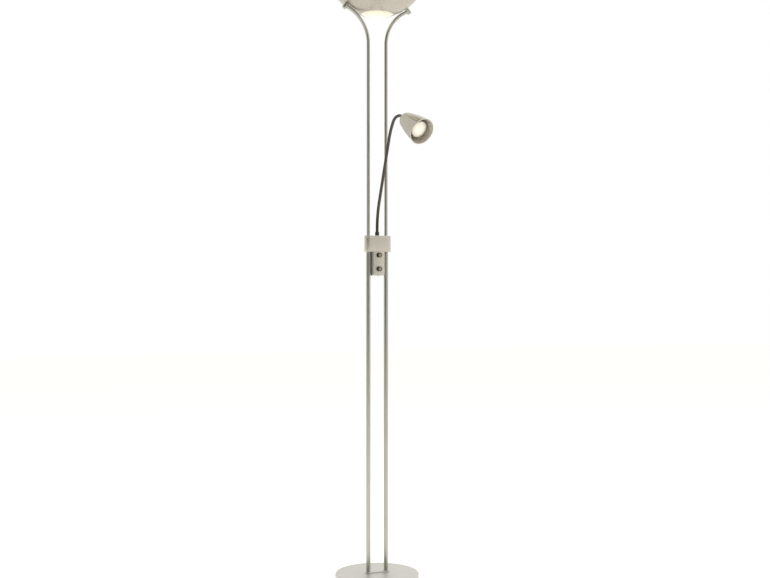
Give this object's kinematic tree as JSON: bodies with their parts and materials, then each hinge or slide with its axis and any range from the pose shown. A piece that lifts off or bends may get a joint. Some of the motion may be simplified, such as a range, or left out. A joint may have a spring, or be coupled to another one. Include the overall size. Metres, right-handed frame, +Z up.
{
  "type": "torchiere floor lamp with reading light",
  "caption": "Twin-pole torchiere floor lamp with a wide uplight bowl, a shaded reading light on a gooseneck, rotary dimmers and a round weighted base.",
  "frame": {"origin": "on the floor under the middle of the round base", "axes": "+Z up along the poles; +X from the left pole to the right pole; -Y to the front, the side with the two knobs"},
  "size_m": [0.2994, 0.3714, 1.8],
  "materials": {
    "felt": "pressed felt",
    "cast_iron": "as cast",
    "satin_nickel": "satin nickel plate",
    "satin_nickel_tube": "satin nickel plate, drawn tube",
    "zinc_steel": "bright zinc plate",
    "black_steel": "black oxide",
    "black_plastic": "moulded, satin",
    "circuit_board": "solder resist",
    "component_plastic": "moulded",
    "shaft_aluminium": "turned",
    "knob_cap_aluminium": "spun satin",
    "lead_insulation": "extruded",
    "gooseneck_steel": "wound strip, black nickel",
    "shade_enamel": "satin enamel",
    "bowl_enamel": "satin enamel",
    "steatite": "pressed and fired",
    "lamp_body": "cast, satin",
    "lamp_lens": "frosted",
    "lamp_quartz": "clear quartz",
    "opal_glass": "opal",
    "guard_glass": "clear, flat"
  },
  "bodies": {
    "root": {"base_pad": "felt", "base_weight": "cast_iron", "base_cover": "satin_nickel", "base_spacers": "zinc_steel", "cord_gland": "black_plastic", "foot_plate": "satin_nickel", "pole_nipples": "zinc_steel", "pole_bushes": "zinc_steel", "pole_washers": "zinc_steel", "left_lower_tube": "satin_nickel_tube", "right_lower_tube": "satin_nickel_tube", "left_upper_tube": "satin_nickel_tube", "right_upper_tube": "satin_nickel_tube", "arm_bosses": "satin_nickel", "collar_body": "satin_nickel", "collar_cap": "satin_nickel", "collar_set_screws": "black_steel", "control_box_front": "satin_nickel", "control_box_rear": "black_plastic", "box_screws": "zinc_steel", "control_board": "circuit_board", "board_components": "component_plastic", "dimmers": "component_plastic", "dimmer_nuts": "zinc_steel", "neck_base_ferrule": "gooseneck_steel", "bowl_shell": "bowl_enamel", "bottom_glass": "opal_glass", "glass_ring": "zinc_steel", "lamp_bracket": "zinc_steel", "bowl_nipples": "zinc_steel", "lamp_nuts": "zinc_steel", "lamp_holders": "steatite", "uplight_lamp": "lamp_quartz", "guard_glass": "guard_glass", "guard_clips": "zinc_steel", "mains_lead": "lead_insulation", "uplight_lead": "lead_insulation", "reading_lead": "lead_insulation"},
    "neck_segment_1": {"neck_1": "gooseneck_steel"},
    "neck_segment_2": {"neck_2": "gooseneck_steel"},
    "neck_segment_3": {"neck_3": "gooseneck_steel"},
    "neck_segment_4": {"neck_4": "gooseneck_steel"},
    "neck_segment_5": {"neck_5": "gooseneck_steel"},
    "neck_segment_6": {"neck_6": "gooseneck_steel"},
    "neck_segment_7": {"neck_7": "gooseneck_steel"},
    "neck_segment_8": {"neck_8": "gooseneck_steel"},
    "reading_head": {"head_ferrule": "gooseneck_steel", "reading_shade": "shade_enamel", "head_nuts": "zinc_steel", "holder_bracket": "zinc_steel", "reading_lamp_holder": "steatite", "reading_lamp": "lamp_body", "reading_lamp_lens": "lamp_lens"},
    "upper_control": {"upper_dimmer_shaft": "shaft_aluminium", "upper_knob": "black_plastic", "upper_knob_cap": "knob_cap_aluminium"},
    "lower_control": {"lower_dimmer_shaft": "shaft_aluminium", "lower_knob": "black_plastic", "lower_knob_cap": "knob_cap_aluminium"}
  },
  "joints": [
    {"name": "neck_bend_1", "type": "hinge", "parent": "root", "child": "neck_segment_1", "pos_m": [0, 0, 1.042], "axis": [0.9578, 0.2874, 0], "range_deg": [-2, 11]},
    {"name": "neck_sway_1", "type": "hinge", "parent": "neck_segment_1", "child": "neck_segment_2", "pos_m": [0.00067, -0.00224, 1.0892], "axis": [0.2853, -0.951, -0.1188], "range_deg": [-9, 9]},
    {"name": "neck_bend_2", "type": "hinge", "parent": "neck_segment_2", "child": "neck_segment_3", "pos_m": [0.00324, -0.01081, 1.1356], "axis": [0.9578, 0.2874, 0], "range_deg": [-2, 11]},
    {"name": "neck_sway_2", "type": "hinge", "parent": "neck_segment_3", "child": "neck_segment_4", "pos_m": [0.00664, -0.02215, 1.18139], "axis": [0.2782, -0.9273, -0.2504], "range_deg": [-9, 9]},
    {"name": "neck_bend_3", "type": "hinge", "parent": "neck_segment_4", "child": "neck_segment_5", "pos_m": [0.01005, -0.03349, 1.22718], "axis": [0.9578, 0.2874, 0], "range_deg": [-2, 11]},
    {"name": "neck_sway_3", "type": "hinge", "parent": "neck_segment_5", "child": "neck_segment_6", "pos_m": [0.01345, -0.04483, 1.27296], "axis": [0.2782, -0.9273, -0.2504], "range_deg": [-9, 9]},
    {"name": "neck_bend_4", "type": "hinge", "parent": "neck_segment_6", "child": "neck_segment_7", "pos_m": [0.01687, -0.05622, 1.31874], "axis": [0.9578, 0.2874, 0], "range_deg": [-2, 11]},
    {"name": "neck_sway_4", "type": "hinge", "parent": "neck_segment_7", "child": "neck_segment_8", "pos_m": [0.02214, -0.07381, 1.36219], "axis": [0.2482, -0.8272, -0.5042], "range_deg": [-9, 9]},
    {"name": "neck_bend_5", "type": "hinge", "parent": "neck_segment_8", "child": "reading_head", "pos_m": [0.03398, -0.11325, 1.37289], "axis": [0.9578, 0.2874, 0], "range_deg": [-2, 11]},
    {"name": "upper_dimmer_turn", "type": "hinge", "parent": "root", "child": "upper_control", "pos_m": [0, -0.0166, 0.972], "axis": [0, 1, 0], "range_deg": [0, 270]},
    {"name": "lower_dimmer_turn", "type": "hinge", "parent": "root", "child": "lower_control", "pos_m": [0, -0.0166, 0.931], "axis": [0, 1, 0], "range_deg": [0, 270]}
  ]
}
